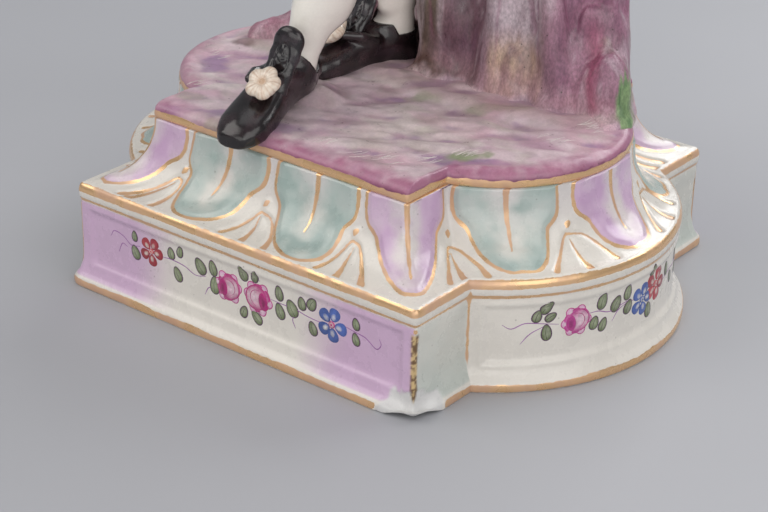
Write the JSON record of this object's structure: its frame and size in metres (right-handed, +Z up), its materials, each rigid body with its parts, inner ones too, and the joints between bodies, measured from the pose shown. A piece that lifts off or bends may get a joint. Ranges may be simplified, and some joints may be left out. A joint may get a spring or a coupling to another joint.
{
  "type": "porcelain figurine",
  "caption": "Painted porcelain figurine of a gallant in a cocked hat beside a tree stump, on a bow-ended plinth with gilded leaves.",
  "frame": {"origin": "middle of the plinth foot, in the plane it stands on", "axes": "+Z up; the figure and the flat garland panel face -Y; the plinth bows outwards on +X and -X"},
  "size_m": [0.1772, 0.1436, 0.2654],
  "materials": {
    "white_glaze": "clear glossy glaze over white porcelain, painted with overglaze enamels and worn gilding",
    "ground_glaze": "mottled mauve and grey-lilac enamel under a soft-gloss glaze",
    "bark_glaze": "brown, mauve and green mottled enamel over modelled bark",
    "black_glaze": "high-gloss black enamel",
    "stocking_glaze": "plain glossy cream-white glaze",
    "gilding": "burnished gilding, thin and a little worn",
    "rosette_glaze": "glossy cream glaze with fine orange-brown lines",
    "coat_glaze": "lilac enamel with gilded edges",
    "waistcoat_glaze": "cream glaze with small painted sprigs and gilded edges",
    "breeches_glaze": "pale salmon enamel",
    "lace_glaze": "white glaze over modelled lace",
    "skin_glaze": "cream glaze with a faint warm flush",
    "hair_glaze": "powder-grey enamel over combed hair",
    "basket_glaze": "straw-coloured enamel over a modelled weave",
    "flower_glaze": "pink, yellow and blue enamels on modelled petals"
  },
  "bodies": {
    "root": {"plinth": "white_glaze", "ground": "ground_glaze", "tree_trunk": "bark_glaze", "breeches": "breeches_glaze", "waistcoat": "waistcoat_glaze", "coat": "coat_glaze", "cravat": "lace_glaze", "head": "skin_glaze", "hair": "hair_glaze", "hair_ribbon": "black_glaze", "hat": "black_glaze", "basket": "basket_glaze", "flowers": "flower_glaze", "held_rose": "flower_glaze", "left_shoe": "black_glaze", "left_tongue": "black_glaze", "left_rosette": "rosette_glaze", "left_stocking": "stocking_glaze", "left_knee_band": "gilding", "left_sleeve": "coat_glaze", "left_cuff": "breeches_glaze", "left_frill": "lace_glaze", "left_hand": "skin_glaze", "right_shoe": "black_glaze", "right_tongue": "black_glaze", "right_rosette": "rosette_glaze", "right_stocking": "stocking_glaze", "right_knee_band": "gilding", "right_sleeve": "coat_glaze", "right_cuff": "breeches_glaze", "right_frill": "lace_glaze", "right_hand": "skin_glaze", "waistcoat_button_1": "gilding", "waistcoat_button_2": "gilding", "waistcoat_button_3": "gilding", "waistcoat_button_4": "gilding", "waistcoat_button_5": "gilding", "coat_button_1": "gilding", "coat_button_2": "gilding", "coat_button_3": "gilding", "coat_button_4": "gilding"}
  },
  "joints": []
}
